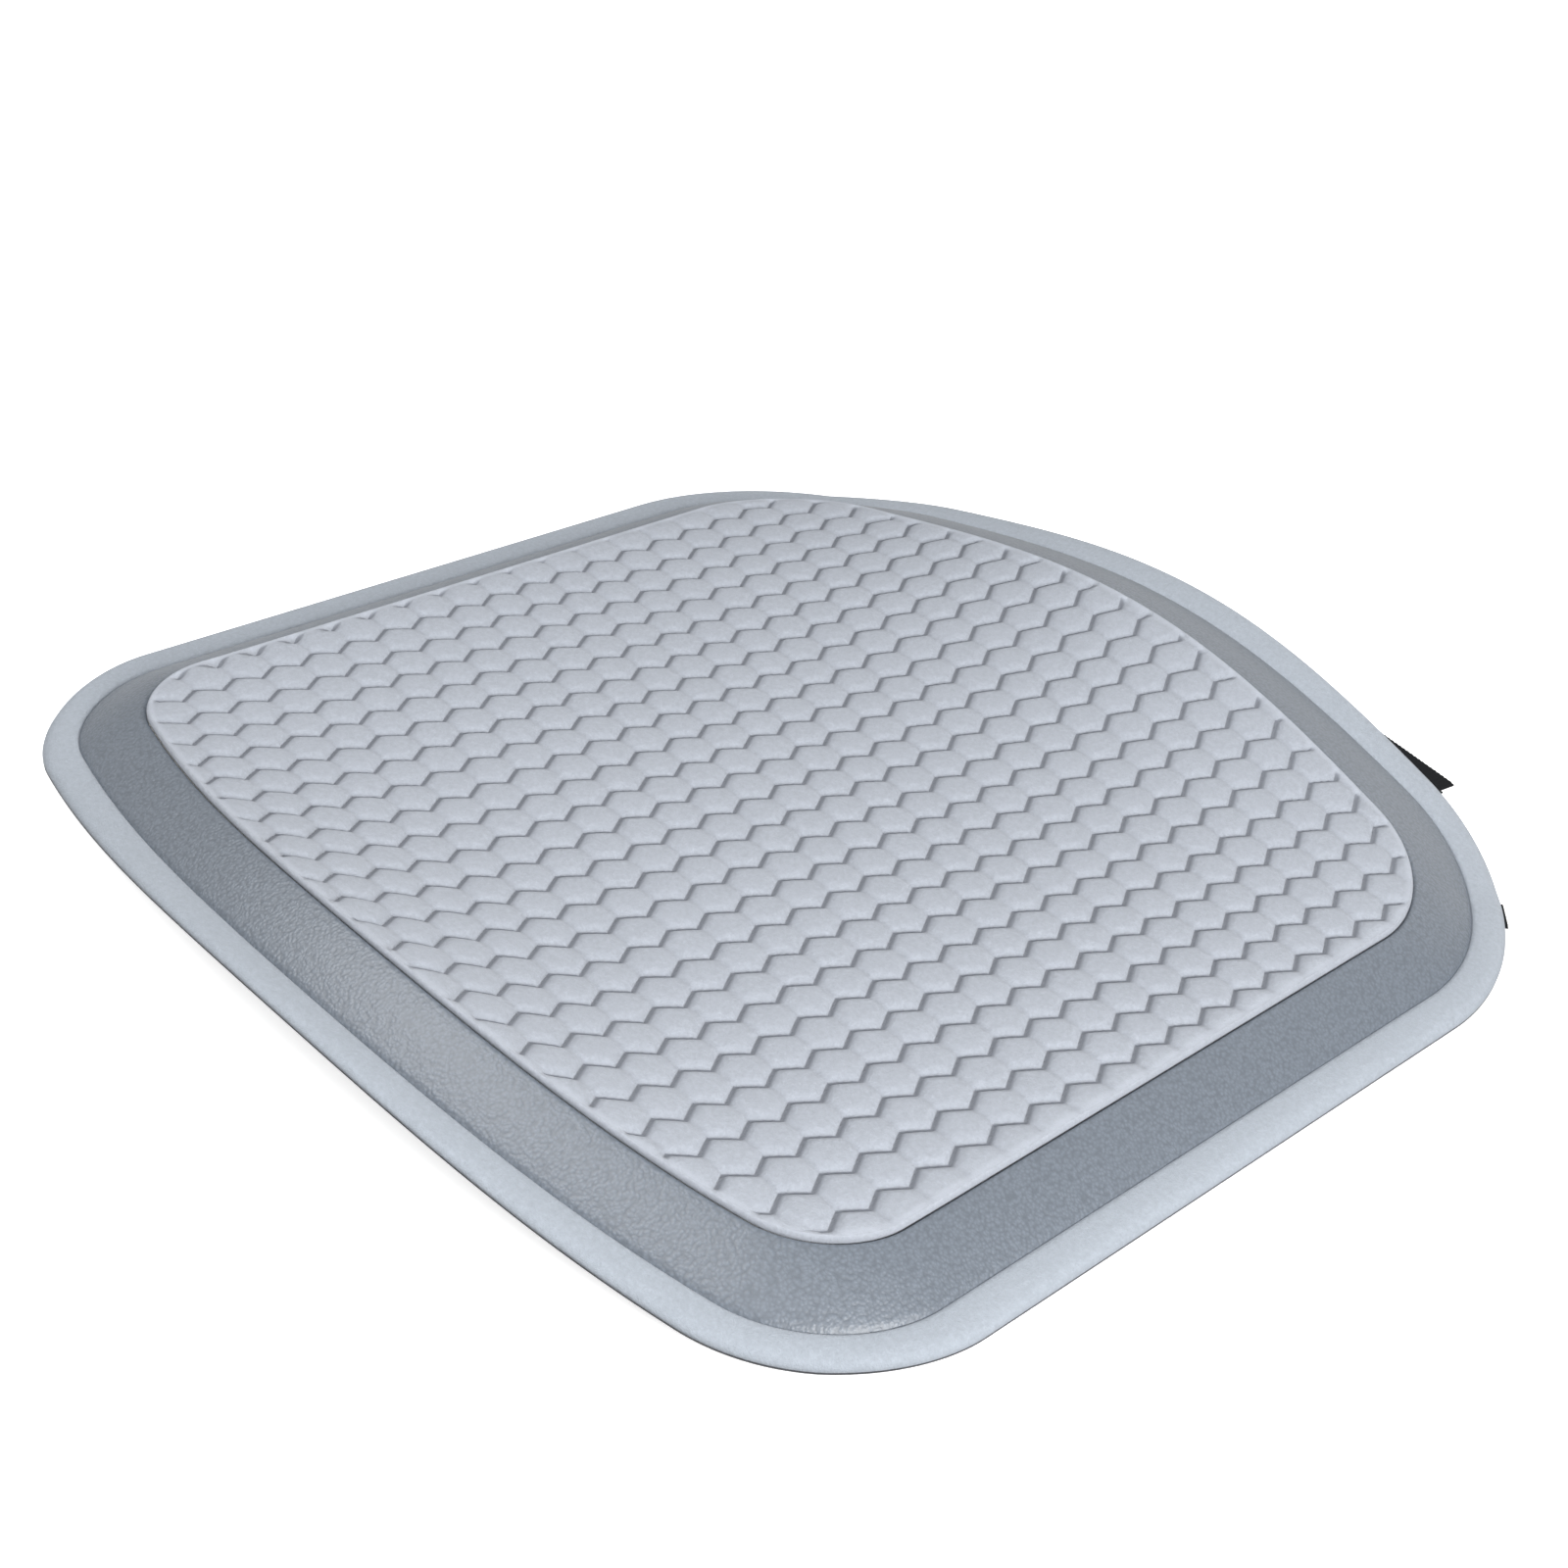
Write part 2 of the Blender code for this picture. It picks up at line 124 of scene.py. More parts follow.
def reach(outline, level, bearings):
    """The points in these directions that lie `level` inside the outline, as (x, y) columns."""
    cos, sin = np.cos(bearings), np.sin(bearings)
    near, far = np.zeros_like(bearings), np.full_like(bearings, LENGTH)
    for _ in range(40):
        middle = (near + far) / 2
        inside = inset(outline, middle * cos, middle * sin) > level
        near = np.where(inside, middle, near)
        far = np.where(inside, far, middle)
    return np.stack([near * cos, near * sin], axis=1)


def pulled_to_edge(x, y, chosen, level):
    """Moves the chosen points of the panel straight out to `level` inside its outline."""
    step = 0.01 * MM
    for _ in range(3):
        here = inset(PANEL, x, y)
        along_x = (inset(PANEL, x + step, y) - here) / step
        along_y = (inset(PANEL, x, y + step) - here) / step
        steep = np.maximum(np.hypot(along_x, along_y), 0.1)
        move = np.where(chosen, (level - here) / steep**2, 0.0)
        x, y = x + move * along_x, y + move * along_y
    return x, y


def even_bearings(count):
    """Directions that share out the outline's length and its turning, so that corners stay round."""
    fine = 5760
    bearings = 2 * np.pi * np.arange(fine) / fine
    points = reach(OUTER, 0.0, bearings)
    steps = np.roll(points, -1, axis=0) - points
    lengths = np.hypot(steps[:, 0], steps[:, 1])
    headings = np.unwrap(np.arctan2(steps[:, 1], steps[:, 0]))
    turns = np.abs(np.diff(headings, prepend=headings[0]))
    total = np.concatenate([[0.0], np.cumsum(lengths / lengths.sum() + turns / turns.sum())])
    wanted = total[-1] * np.arange(count) / count
    return np.interp(wanted, total, 2 * np.pi * np.arange(fine + 1) / fine)


BEARINGS = even_bearings(AROUND)


def bump(share):
    """How much of a curl's rise is left this far across it: 1 in the middle, 0 past either end."""
    rounded = 0.175 * (1 + np.cos(np.pi * share)) + 0.65 * (1 - share * share)
    return np.where(np.abs(share) < 1, rounded, 0.0)


def curl(x, y, heights):
    """The rise of the front and rear edges, which lift towards the middle of each side."""
    front, front_end, rear, rear_end = heights
    forward = np.maximum(-y - FRONT_CURL_START, 0) / (front_end - FRONT_CURL_START)
    back = np.maximum(y - REAR_CURL_START, 0) / (rear_end - REAR_CURL_START)
    risen = front * forward**2 * bump(x / FRONT_CURL_HALF_SPAN)
    return risen + rear * back**2 * bump(x / REAR_CURL_HALF_SPAN)


def panel_height(x, y):
    return MIDDLE_THICKNESS + curl(x, y, PANEL_CURL)


def rim_height(x, y):
    return MIDDLE_THICKNESS - BAND_DROP + curl(x, y, RIM_CURL)


def underside_height(x, y):
    return UNDERSIDE_SHARE * curl(x, y, PANEL_CURL)


def with_height(points, heights):
    return np.column_stack([points, heights])


def panel_ring(level, depth):
    points = reach(PANEL, level, BEARINGS)
    return with_height(points, panel_height(*points.T) - depth)


def rim_ring(level, depth):
    points = reach(OUTER, level, BEARINGS)
    return with_height(points, rim_height(*points.T) - depth)


def band_ring(share, depth):
    """A ring on the slope between the panel's edge (share 0) and the rim's inner line (share 1)."""
    a = reach(PANEL, 0.0, BEARINGS)
    b = reach(OUTER, RIM_WIDTH, BEARINGS)
    top = panel_height(*a.T) * (1 - share) + (rim_height(*b.T) + BAND_DROP) * share
    return with_height(a * (1 - share) + b * share, top - depth)


def under_ring(share, depth):
    """A ring of the underside between its flat foot (share 0) and the rim's inner line (share 1)."""
    a = FOOT_SHARE * reach(PANEL, 0.0, BEARINGS)
    b = reach(OUTER, RIM_WIDTH, BEARINGS)
    low = underside_height(*a.T) * (1 - share) + (rim_height(*b.T) - RIM_THICKNESS) * share
    return with_height(a * (1 - share) + b * share, low - depth)


def under_height(x, y):
    """Height of the finished underside at each point of the plan."""
    bearings, far = np.arctan2(y, x), np.hypot(x, y)
    foot = FOOT_SHARE * np.hypot(*reach(PANEL, 0.0, bearings).T)
    line = np.hypot(*reach(OUTER, RIM_WIDTH, bearings).T)
    unit_x, unit_y = np.cos(bearings), np.sin(bearings)
    low = underside_height(unit_x * foot, unit_y * foot)
    high = rim_height(unit_x * line, unit_y * line) - RIM_THICKNESS
    share = np.clip((far - foot) / (line - foot), 0, 1)
    slope = low * (1 - share) + high * share
    within = np.where(far <= foot, underside_height(x, y), slope)
    return np.where(far >= line, rim_height(x, y) - RIM_THICKNESS, within)


def edge_frame(x_wanted):
    """The rim's rear edge point at this X, with the directions along it and straight out of it."""
    bearings = np.linspace(math.radians(5), math.radians(175), 4000)
    points = reach(OUTER, 0.0, bearings)
    return frame_at(bearings[np.argmin(np.abs(points[:, 0] - x_wanted))])


def frame_at(bearing):
    """The rim's edge point in this direction, with the directions along it and straight out of it."""
    here, there = reach(OUTER, 0.0, np.array([bearing, bearing - 0.01]))
    along = (there - here) / np.linalg.norm(there - here)
    out = np.array([-along[1], along[0]])
    if out @ here < 0:
        out = -out
    return here, along, out


# Meshes.


def piece(name, points, faces, material, smooth=True):
    mesh = bpy.data.meshes.new(name)
    mesh.from_pydata(np.asarray(points).tolist(), [], [list(face) for face in faces])
    mesh.materials.append(material)
    if smooth:
        mesh.shade_smooth()
    obj = bpy.data.objects.new(name, mesh)
    bpy.context.scene.collection.objects.link(obj)
    return obj


def ring_faces(rings, around):
    """Quads between neighbouring rings, facing up when the rings run from the middle outwards."""
    k = np.arange(rings - 1)[:, None]
    i = np.arange(around)[None, :]
    a, b, j = k * around, (k + 1) * around, (i + 1) % around
    return np.stack([a + i, b + i, b + j, a + j], axis=-1).reshape(-1, 4)


def ring_piece(name, rings, material):
    points = np.concatenate(rings)
    return piece(name, points, ring_faces(len(rings), len(rings[0])), material)


def grid_faces(rows, columns):
    r = np.arange(rows - 1)[:, None] * columns
    c = np.arange(columns - 1)[None, :]
    a = r + c
    return np.stack([a, a + 1, a + columns + 1, a + columns], axis=-1).reshape(-1, 4)


def ribbon(name, rows, thickness, material, ribs, rib_height):
    """A ribbed strip with rounded edges. Each row is (left end, right end) of the strip's upper face."""
    across = 4 * ribs + 1
    shares = np.linspace(0.0, 1.0, across)
    rib = rib_height * 0.5 * (np.cos(2 * np.pi * ribs * shares) - 1)
    edge = np.minimum(1.0, np.minimum(shares, 1 - shares) * ribs)
    tops, lows = [], []
    for left, right in rows:
        line = np.outer(1 - shares, left) + np.outer(shares, right)
        body = thickness * (0.45 + 0.55 * edge) / 2
        tops.append(line + np.outer(body - thickness / 2 + rib, (0, 0, 1)))
        lows.append(line + np.outer(-body - thickness / 2 - rib, (0, 0, 1)))
    count = len(rows)
    points = np.concatenate(tops + lows)
    top = grid_faces(count, across)
    low = grid_faces(count, across)[:, ::-1] + count * across
    faces = [top, low]
    shift = count * across
    r = np.arange(count - 1) * across
    for c in (0, across - 1):
        sides = np.stack([r + c, r + c + shift, r + c + across + shift, r + c + across], axis=-1)
        faces.append(sides if c else sides[:, ::-1])
    c = np.arange(across - 1)
    for k in (0, count - 1):
        a = k * across + c
        ends = np.stack([a, a + shift, a + 1 + shift, a + 1], axis=-1)
        faces.append(ends if k == 0 else ends[:, ::-1])
    obj = piece(name, points, np.concatenate(faces), material)
    shape = bmesh.new()
    shape.from_mesh(obj.data)
    bmesh.ops.recalc_face_normals(shape, faces=shape.faces)
    shape.to_mesh(obj.data)
    shape.free()
    return obj


def point_values(obj, name, values):
    attribute = obj.data.attributes.new(name, "FLOAT", "POINT")
    attribute.data.foreach_set("value", np.asarray(values, np.float32))


def applied(obj):
    """Turns the piece into a plain mesh with its modifiers' result, at the origin."""
    graph = bpy.context.evaluated_depsgraph_get()
    mesh = bpy.data.meshes.new_from_object(obj.evaluated_get(graph), depsgraph=graph)
    obj.modifiers.clear()
    obj.data = mesh
    return obj


# Node trees.


def linear(code):
    """A colour given as six sRGB hex digits, made linear."""
    values = [int(code[i : i + 2], 16) / 255 for i in (0, 2, 4)]
    return tuple(v / 12.92 if v <= 0.04045 else ((v + 0.055) / 1.055) ** 2.4 for v in values)


def node(tree, kind, inputs=None, **settings):
    """Adds a node, sets its properties, and gives its inputs constants or links."""
    made = tree.nodes.new(kind)
    for name, value in settings.items():
        setattr(made, name, value)
    for key, value in (inputs or {}).items():
        socket = made.inputs[key]
        if isinstance(value, bpy.types.NodeSocket):
            tree.links.new(value, socket)
        else:
            socket.default_value = value
    return made


def math_node(tree, operation, *values):
    made = node(tree, "ShaderNodeMath", dict(enumerate(values)), operation=operation)
    return made.outputs[0]


def vector_node(tree, operation, *values):
    made = node(tree, "ShaderNodeVectorMath", dict(enumerate(values)), operation=operation)
    return made.outputs[1 if operation == "LENGTH" else 0]


def mapped(tree, value, low, high, to_low, to_high, smooth=False):
    kind = "SMOOTHSTEP" if smooth else "LINEAR"
    inputs = {"Value": value, "From Min": low, "From Max": high, "To Min": to_low, "To Max": to_high}
    return node(tree, "ShaderNodeMapRange", inputs, interpolation_type=kind).outputs["Result"]


def mixed(tree, share, a, b):
    made = node(tree, "ShaderNodeMix", {"Factor": share}, data_type="RGBA")
    for index, value in ((6, a), (7, b)):
        if isinstance(value, bpy.types.NodeSocket):
            tree.links.new(value, made.inputs[index])
        else:
            made.inputs[index].default_value = (*value, 1.0)
    return made.outputs[2]


def new_material(name):
    material = bpy.data.materials.new(name)
    material.use_nodes = True
    tree = material.node_tree
    return material, tree, tree.nodes["Principled BSDF"]


def noise(tree, where, size, detail=2.0, roughness=0.5):
    """Noise whose features are about `size` metres across."""
    inputs = {"Vector": where, "Scale": 1 / size, "Detail": detail, "Roughness": roughness}
    return node(tree, "ShaderNodeTexNoise", inputs).outputs[0]


def join(tree, shader, colour=None, roughness=None, height=None, distance=0.0005, strength=1.0):
    """Gives a shader its colour and roughness, each a value or a link, and a bump up to `distance` high."""
    for key, value in (("Base Color", colour), ("Roughness", roughness)):
        if isinstance(value, bpy.types.NodeSocket):
            tree.links.new(value, shader.inputs[key])
        elif value is not None:
            shader.inputs[key].default_value = (*value, 1.0) if key == "Base Color" else value
    if height is not None:
        inputs = {"Height": height, "Distance": distance, "Strength": strength}
        made = node(tree, "ShaderNodeBump", inputs)
        tree.links.new(made.outputs[0], shader.inputs["Normal"])


def hexagons(tree, place, width, lean, start):
    """Reads a hexagon pattern whose cells are `width` across.

    Gives the distances, in cells, to the nearest slanted edge and to the nearest level edge, and the place
    in its own cell. `lean` is how far the rows slip per unit across, and `start` is an offset in cells.
    """
    cells = node(tree, "ShaderNodeVectorMath", {0: place}, operation="DIVIDE")
    if isinstance(width, bpy.types.NodeSocket):
        wide = node(tree, "ShaderNodeCombineXYZ", {0: width, 1: width, 2: 1.0}).outputs[0]
        tree.links.new(wide, cells.inputs[1])
    else:
        cells.inputs[1].default_value = (width, width, 1.0)
    shifted = vector_node(tree, "ADD", cells.outputs[0], start)
    split = node(tree, "ShaderNodeSeparateXYZ", {0: shifted})
    leant = math_node(tree, "MULTIPLY_ADD", split.outputs[0], lean, split.outputs[1])
    flat = node(tree, "ShaderNodeCombineXYZ", {0: split.outputs[0], 1: leant, 2: 0.0}).outputs[0]
    half = (math.sqrt(3) / 2, 0.5, 1.0)
    minus = tuple(-v for v in half)
    first = vector_node(tree, "WRAP", flat, half, minus)
    moved = vector_node(tree, "ADD", flat, (half[0], half[1], 0.0))
    second = vector_node(tree, "WRAP", moved, half, minus)
    away = [vector_node(tree, "LENGTH", place_in_cell) for place_in_cell in (second, first)]
    nearer = math_node(tree, "LESS_THAN", *away)
    chosen = node(tree, "ShaderNodeMix", {"Factor": nearer}, data_type="VECTOR")
    tree.links.new(first, chosen.inputs[4])
    tree.links.new(second, chosen.inputs[5])
    middle = node(tree, "ShaderNodeSeparateXYZ", {0: vector_node(tree, "ABSOLUTE", chosen.outputs[1])})
    slant = math_node(tree, "MULTIPLY", middle.outputs[0], math.sqrt(3) / 2)
    slant = math_node(tree, "MULTIPLY_ADD", middle.outputs[1], 0.5, slant)
    slanted = math_node(tree, "SUBTRACT", 0.5, slant)
    level = math_node(tree, "SUBTRACT", 0.5, middle.outputs[1])
    return slanted, level, chosen.outputs[1]


def suede_material(name, colour, groove=None):
    """Microfibre suede: a mottled nap that spreads the light. Given a groove colour, it also gets painted
    shade along the hexagon grooves, widest on each cell's -X flank, and a painted highlight on the panel's
    smooth edge.
    """
    material, tree, shader = new_material(name)
    where = node(tree, "ShaderNodeTexCoord").outputs["Object"]
    nap = noise(tree, where, 1.8 * MM, 3.0, 0.65)
    fibre = noise(tree, where, 0.8 * MM, 3.0, 0.75)
    cloud = noise(tree, where, 30 * MM, 2.0)
    lighter = tuple(min(1.0, 1.08 * c) for c in colour)
    darker = tuple(0.84 * c for c in colour)
    tint = mixed(tree, mapped(tree, nap, 0.3, 0.7, 0.0, 1.0), darker, lighter)
    tint = mixed(tree, mapped(tree, fibre, 0.34, 0.66, 0.75, 0.0), tint, darker)
    tint = mixed(tree, mapped(tree, cloud, 0.35, 0.65, 0.0, 0.12), tint, darker)
    height = math_node(tree, "ADD", math_node(tree, "MULTIPLY", nap, 0.45), fibre)
    if groove is not None:
        s = sizes()
        start = tuple(s.pattern_start)
        slanted, level, spot = hexagons(tree, where, s.cell_width, s.pattern_lean, start)
        side = node(tree, "ShaderNodeSeparateXYZ", {0: spot}).outputs[0]
        # Painted shade: each groove is darkened widest on the cell's -X flank, which faces away from the
        # key light at +X, and faintly along the level edges. The same crease also sinks the bump.
        reachout = mapped(tree, side, -0.05, 0.05, s.crease_width, 0.35 * s.crease_width)
        far = math_node(tree, "MULTIPLY", slanted, s.cell_width)
        crease_and_painted_shade = mapped(tree, math_node(tree, "DIVIDE", far, reachout), 0.25, 1.0, 1.0, 0.0, True)
        from_level = math_node(tree, "MULTIPLY", level, s.cell_width)
        faint_crease_and_painted_shade = mapped(tree, from_level, 0.0, s.crease_width, 0.16, 0.0, True)
        margin = node(tree, "ShaderNodeAttribute", attribute_name="margin").outputs["Fac"]
        inside = mapped(tree, margin, s.smooth_margin, 2 * s.smooth_margin, 0.0, 1.0, True)
        crease_and_painted_shade = math_node(tree, "MULTIPLY", math_node(tree, "MAXIMUM", crease_and_painted_shade, faint_crease_and_painted_shade), inside)
        # Painted highlight: near the panel's outline, where there are no cells, the suede is painted up to
        # 7.5% lighter.
        painted_edge_highlight = math_node(tree, "MULTIPLY_ADD", inside, -0.5, 0.5)
        tint = mixed(tree, painted_edge_highlight, tint, tuple(1.15 * c for c in colour))
        # Painted shade: the groove colour goes on along each crease.
        tint = mixed(tree, crease_and_painted_shade, tint, groove)
        height = math_node(tree, "SUBTRACT", height, math_node(tree, "MULTIPLY", crease_and_painted_shade, 1.2))
    join(tree, shader, tint, 0.92, height, 0.5 * MM, 0.7)
    shader.inputs["Sheen Weight"].default_value = 0.15
    shader.inputs["Sheen Roughness"].default_value = 0.6
    shader.inputs["Specular IOR Level"].default_value = 0.15
    return material


def leather_material(name, colour):
    """Coated leather: fine pebbles run into short wavy streaks, with a soft shine on their tops."""
    material, tree, shader = new_material(name)
    where = node(tree, "ShaderNodeTexCoord").outputs["Object"]
    swirl = noise(tree, where, 6 * MM, 2.0)
    shift = node(tree, "ShaderNodeVectorMath", {0: swirl, "Scale": 1.4 * MM}, operation="SCALE")
    moved = vector_node(tree, "ADD", where, shift.outputs[0])
    cells = {"Vector": moved, "Scale": 1 / (1.2 * MM), "Smoothness": 0.5, "Randomness": 1.0}
    pebble = node(tree, "ShaderNodeTexVoronoi", cells, feature="SMOOTH_F1").outputs["Distance"]
    fine = noise(tree, moved, 0.7 * MM, 2.0)
    height = math_node(tree, "SUBTRACT", math_node(tree, "MULTIPLY", fine, 0.5), pebble)
    darker = tuple(0.7 * c for c in colour)
    tint = mixed(tree, mapped(tree, pebble, 0.15, 0.75, 0.0, 1.0), colour, darker)
    tint = mixed(tree, mapped(tree, noise(tree, where, 3 * MM, 2.0), 0.4, 0.7, 0.0, 0.25), tint, darker)
    join(tree, shader, tint, 0.5, height, 0.4 * MM, 0.45)
    shader.inputs["Specular IOR Level"].default_value = 0.9
    return material


def knit_material(name, colour):
    """Dark knitted base cloth: fine rows of loops."""
    material, tree, shader = new_material(name)
    where = node(tree, "ShaderNodeTexCoord").outputs["Object"]
    across = node(tree, "ShaderNodeTexWave", {"Vector": where, "Scale": 110.0, "Distortion": 0.4})
    along = node(tree, "ShaderNodeTexWave", {"Vector": where, "Scale": 80.0}, bands_direction="Y")
    weave = math_node(tree, "MULTIPLY", across.outputs["Fac"], along.outputs["Fac"])
    tint = mixed(tree, weave, tuple(0.5 * c for c in colour), colour)
    join(tree, shader, tint, 0.9, weave, 0.3 * MM, 0.8)
    shader.inputs["Sheen Weight"].default_value = 0.3
    return material


def rubber_material(name, colour):
    """Soft moulded rubber dots: dark, satin."""
    material, tree, shader = new_material(name)
    join(tree, shader, colour, 0.5)
    return material


def elastic_material(name, colour):
    """Woven black elastic: yarn crossing fine rubber ribs."""
    material, tree, shader = new_material(name)
    where = node(tree, "ShaderNodeTexCoord").outputs["Object"]
    yarn = noise(tree, where, 0.5 * MM, 3.0, 0.7)
    tint = mixed(tree, yarn, tuple(0.4 * c for c in colour), tuple(2.2 * c for c in colour))
    join(tree, shader, tint, 0.85, yarn, 0.2 * MM, 0.7)
    shader.inputs["Specular IOR Level"].default_value = 0.2
    return material


def foam_material(name, colour):
    """Open-cell foam: pale, matt and full of fine pores."""
    material, tree, shader = new_material(name)
    where = node(tree, "ShaderNodeTexCoord").outputs["Object"]
    cells = {"Vector": where, "Scale": 1 / (0.9 * MM)}
    pores = node(tree, "ShaderNodeTexVoronoi", cells).outputs["Distance"]
    tint = mixed(tree, pores, tuple(0.7 * c for c in colour), colour)
    join(tree, shader, tint, 0.95, pores, 0.4 * MM, 0.7)
    return material


# Geometry Nodes.


def new_group(name, sockets):
    """A geometry node group with named inputs, each (name, type, default)."""
    tree = bpy.data.node_groups.new(name, "GeometryNodeTree")
    tree.interface.new_socket("Geometry", in_out="INPUT", socket_type="NodeSocketGeometry")
    tree.interface.new_socket("Geometry", in_out="OUTPUT", socket_type="NodeSocketGeometry")
    for label, kind, default in sockets:
        made = tree.interface.new_socket(label, in_out="INPUT", socket_type=kind)
        if default is not None:
            made.default_value = default
    enter = tree.nodes.new("NodeGroupInput")
    leave = tree.nodes.new("NodeGroupOutput")
    return tree, enter.outputs, leave.inputs["Geometry"]


def use_group(obj, tree, **values):
    """Puts a node group on the object, each input given by its name with _ for a space."""
    modifier = obj.modifiers.new(tree.name, "NODES")
    modifier.node_group = tree
    for item in tree.interface.items_tree:
        if item.in_out == "INPUT" and item.name.replace(" ", "_") in values:
            modifier[item.identifier] = values[item.name.replace(" ", "_")]


def honeycomb_group():
    """Raises pillowed hexagons out of a sheet, with narrow pressed grooves between them."""
    tree, given, result = new_group(
        "Honeycomb emboss",
        [
            ("Cell width", "NodeSocketFloat", 0.017),
            ("Height", "NodeSocketFloat", 0.002),
            ("Flank", "NodeSocketFloat", 0.003),
            ("Dome", "NodeSocketFloat", 0.001),
            ("Level share", "NodeSocketFloat", 0.4),
            ("Smooth margin", "NodeSocketFloat", 0.003),
            ("Lean", "NodeSocketFloat", 0.0),
            ("Start", "NodeSocketVector", (0.0, 0.0, 0.0)),
            ("Material", "NodeSocketMaterial", None),
        ],
    )
    place = node(tree, "GeometryNodeInputPosition").outputs[0]
    slanted, level, spot = hexagons(tree, place, given["Cell width"], given["Lean"], given["Start"])

    def sunk(distance, width):
        far = math_node(tree, "MULTIPLY", distance, given["Cell width"])
        rest = math_node(tree, "SUBTRACT", 1.0, math_node(tree, "DIVIDE", far, width))
        return math_node(tree, "POWER", math_node(tree, "MAXIMUM", rest, 0.0), 2.2)

    weak = math_node(tree, "MULTIPLY", sunk(level, given["Flank"]), given["Level share"])
    groove = math_node(tree, "MAXIMUM", sunk(slanted, given["Flank"]), weak)
    radius = vector_node(tree, "LENGTH", spot)
    dome = math_node(tree, "SUBTRACT", 0.25, math_node(tree, "MULTIPLY", radius, radius))
    dome = math_node(tree, "MULTIPLY", math_node(tree, "MULTIPLY", dome, 4.0), given["Dome"])
    kept_dome = math_node(tree, "MULTIPLY", dome, math_node(tree, "SUBTRACT", 1.0, groove))
    risen = math_node(tree, "SUBTRACT", kept_dome, math_node(tree, "MULTIPLY", groove, given["Height"]))
    named = node(tree, "GeometryNodeInputNamedAttribute", {"Name": "margin"}, data_type="FLOAT")
    margin = named.outputs[0]
    wide = math_node(tree, "MULTIPLY", given["Smooth margin"], 2.2)
    inside = mapped(tree, margin, given["Smooth margin"], wide, 0.0, 1.0, True)
    lowered = math_node(tree, "MULTIPLY", risen, inside)
    normal = node(tree, "GeometryNodeInputNormal").outputs[0]
    offset = node(tree, "ShaderNodeVectorMath", {0: normal, "Scale": lowered}, operation="SCALE")
    inputs = {"Geometry": given["Geometry"], "Offset": offset.outputs[0]}
    moved = node(tree, "GeometryNodeSetPosition", inputs).outputs[0]
    real = node(tree, "GeometryNodeRealizeInstances", {0: moved})
    dressed = node(
        tree, "GeometryNodeSetMaterial", {"Geometry": real.outputs[0], "Material": given["Material"]}
    )
    tree.links.new(dressed.outputs[0], result)
    return tree


def dots_group():
    """Small flattened rubber domes, one on each point it is given."""
    tree, given, result = new_group(
        "Anti-slip dots",
        [
            ("Radius", "NodeSocketFloat", 0.0012),
            ("Height", "NodeSocketFloat", 0.0006),
            ("Material", "NodeSocketMaterial", None),
        ],
    )
    ball = node(
        tree, "GeometryNodeMeshUVSphere", {"Segments": 8, "Rings": 5, "Radius": 1.0}
    ).outputs["Mesh"]
    size = node(
        tree, "ShaderNodeCombineXYZ", {0: given["Radius"], 1: given["Radius"], 2: given["Height"]}
    ).outputs[0]
    placed = node(
        tree,
        "GeometryNodeInstanceOnPoints",
        {"Points": given["Geometry"], "Instance": ball, "Scale": size},
    ).outputs[0]
    real = node(tree, "GeometryNodeRealizeInstances", {0: placed}).outputs[0]
    smooth = node(tree, "GeometryNodeSetShadeSmooth", {0: real}).outputs[0]
    dressed = node(
        tree, "GeometryNodeSetMaterial", {"Geometry": smooth, "Material": given["Material"]}
    )
    tree.links.new(dressed.outputs[0], result)
    return tree


def stitches_group():
    """Short thread stitches laid in a row along the line it is given."""
    tree, given, result = new_group(
        "Stitches",
        [
            ("Pitch", "NodeSocketFloat", 0.003),
            ("Length", "NodeSocketFloat", 0.0022),
            ("Thread", "NodeSocketFloat", 0.0003),
            ("Material", "NodeSocketMaterial", None),
        ],
    )
    curve = node(tree, "GeometryNodeMeshToCurve", {"Mesh": given["Geometry"]}).outputs[0]
    even = node(
        tree, "GeometryNodeResampleCurve", {"Curve": curve, "Length": given["Pitch"]}, mode="LENGTH"
    ).outputs[0]
    tangent = node(tree, "GeometryNodeInputTangent").outputs[0]
    facing = node(tree, "FunctionNodeAlignRotationToVector", {"Vector": tangent}, axis="Z").outputs[0]
    ball = node(
        tree, "GeometryNodeMeshUVSphere", {"Segments": 6, "Rings": 6, "Radius": 0.5}
    ).outputs["Mesh"]
    thick = math_node(tree, "MULTIPLY", given["Thread"], 2.0)
    size = node(tree, "ShaderNodeCombineXYZ", {0: thick, 1: thick, 2: given["Length"]}).outputs[0]
    placed = node(
        tree,
        "GeometryNodeInstanceOnPoints",
        {"Points": even, "Instance": ball, "Rotation": facing, "Scale": size},
    ).outputs[0]
    real = node(tree, "GeometryNodeRealizeInstances", {0: placed}).outputs[0]
    smooth = node(tree, "GeometryNodeSetShadeSmooth", {0: real}).outputs[0]
    dressed = node(
        tree, "GeometryNodeSetMaterial", {"Geometry": smooth, "Material": given["Material"]}
    )
    tree.links.new(dressed.outputs[0], result)
    return tree


def stitch_row(name, line, material, **sizes):
    """Stitches round a closed line, as one plain mesh."""
    count = len(line)
    edges = [(i, (i + 1) % count) for i in range(count)]
    mesh = bpy.data.meshes.new(name)
    mesh.from_pydata([tuple(p) for p in line], edges, [])
    obj = bpy.data.objects.new(name, mesh)
    bpy.context.scene.collection.objects.link(obj)
    use_group(obj, stitches_group(), Material=material, **sizes)
    return applied(obj)


# Settings a user would change.


def length(label, default, text, low=0.0):
    return bpy.props.FloatProperty(
        name=label, description=text, default=default, min=low, unit="LENGTH", precision=5
    )


def colour(label, code, text):
    return bpy.props.FloatVectorProperty(
        name=label, description=text, default=linear(code), min=0.0, max=1.0, subtype="COLOR", size=3
    )


